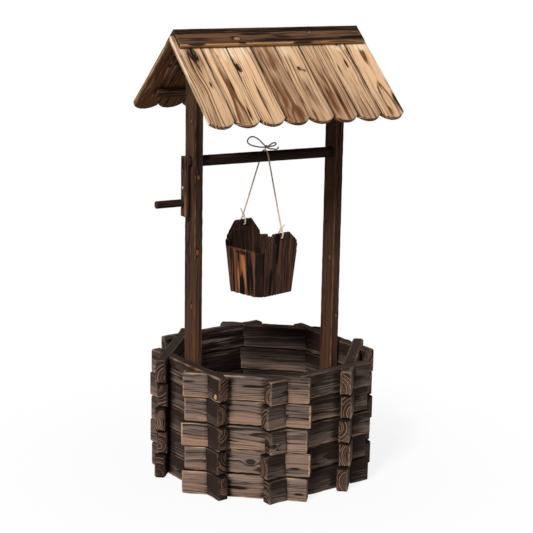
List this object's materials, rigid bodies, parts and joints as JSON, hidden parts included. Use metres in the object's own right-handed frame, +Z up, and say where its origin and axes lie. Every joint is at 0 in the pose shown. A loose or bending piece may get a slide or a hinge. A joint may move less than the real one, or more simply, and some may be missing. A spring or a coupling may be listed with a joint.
{
  "type": "wishing well planter",
  "caption": "Octagonal planter wall of lapped boards with two posts, a plank roof, and a crank, roller and rope that carry a stave bucket.",
  "frame": {"origin": "on the ground, under the middle of the box round everything but the rope", "axes": "+Z up, X along the roller with the crank at -X, -Y the front"},
  "size_m": [0.6222, 0.6056, 1.1795],
  "materials": {
    "wall_board": "scorched and brushed softwood, greyish brown with paler worn edges, matt",
    "post": "scorched softwood, dark reddish brown, matt",
    "roof_plank": "lightly scorched softwood, tan with brown grain and knots, matt",
    "ridge_cap": "scorched softwood, dark brown, matt",
    "crank_wood": "scorched dowel, nearly black, satin",
    "bucket_stave": "scorched softwood with orange streaks, matt",
    "rope": "twisted jute",
    "screw": "zinc plated wood screws, a little dull"
  },
  "bodies": {
    "well": {"wall_right_1": "wall_board", "wall_back_right_1": "wall_board", "wall_back_1": "wall_board", "wall_back_left_1": "wall_board", "wall_left_1": "wall_board", "wall_front_left_1": "wall_board", "wall_front_1": "wall_board", "wall_front_right_1": "wall_board", "wall_right_2": "wall_board", "wall_back_right_2": "wall_board", "wall_back_2": "wall_board", "wall_back_left_2": "wall_board", "wall_left_2": "wall_board", "wall_front_left_2": "wall_board", "wall_front_2": "wall_board", "wall_front_right_2": "wall_board", "wall_right_3": "wall_board", "wall_back_right_3": "wall_board", "wall_back_3": "wall_board", "wall_back_left_3": "wall_board", "wall_left_3": "wall_board", "wall_front_left_3": "wall_board", "wall_front_3": "wall_board", "wall_front_right_3": "wall_board", "wall_right_4": "wall_board", "wall_back_right_4": "wall_board", "wall_back_4": "wall_board", "wall_back_left_4": "wall_board", "wall_left_4": "wall_board", "wall_front_left_4": "wall_board", "wall_front_4": "wall_board", "wall_front_right_4": "wall_board", "wall_right_5": "wall_board", "wall_back_right_5": "wall_board", "wall_back_5": "wall_board", "wall_back_left_5": "wall_board", "wall_left_5": "wall_board", "wall_front_left_5": "wall_board", "wall_front_5": "wall_board", "wall_front_right_5": "wall_board", "left_post": "post", "right_post": "post", "roof_front": "roof_plank", "roof_back": "roof_plank", "roof_batten_front": "roof_plank", "roof_batten_back": "roof_plank", "ridge_cap_front": "ridge_cap", "ridge_cap_back": "ridge_cap"},
    "windlass": {"roller": "crank_wood", "crank_arm": "post", "crank_handle": "crank_wood", "rope_bow": "rope"},
    "hanging_rope": {"rope": "rope"},
    "rope_ties": {"rope_tie_front": "rope", "rope_tie_back": "rope"},
    "bucket": {"bucket_tall_front": "bucket_stave", "bucket_tall_back": "bucket_stave", "bucket_low_left": "bucket_stave", "bucket_low_right": "bucket_stave", "bucket_floor": "bucket_stave"}
  },
  "joints": [
    {"name": "crank_turn", "type": "hinge", "parent": "well", "child": "windlass", "pos_m": [0.00571, -0.00109, 0.847], "axis": [1, 0, 0], "range_deg": [0, 360]},
    {"name": "rope_swing", "type": "hinge", "parent": "well", "child": "hanging_rope", "pos_m": [0.00571, -0.00109, 0.847], "axis": [1, 0, 0], "range_deg": [-30, 30]},
    {"name": "bucket_lift", "type": "slide", "parent": "hanging_rope", "child": "rope_ties", "axis": [0, 0, 1], "range_m": [0, 0.1053], "deforming": ["rope"]},
    {"name": "bucket_tip", "type": "hinge", "parent": "rope_ties", "child": "bucket", "pos_m": [-0.00244, -0.00051, 0.648], "axis": [-0.2571, 0.9596, 0.1138], "range_deg": [-15, 15]}
  ],
  "couplings": [
    {"joint": "bucket_lift", "follows": "crank_turn", "m_per_rad": 0.01675}
  ]
}
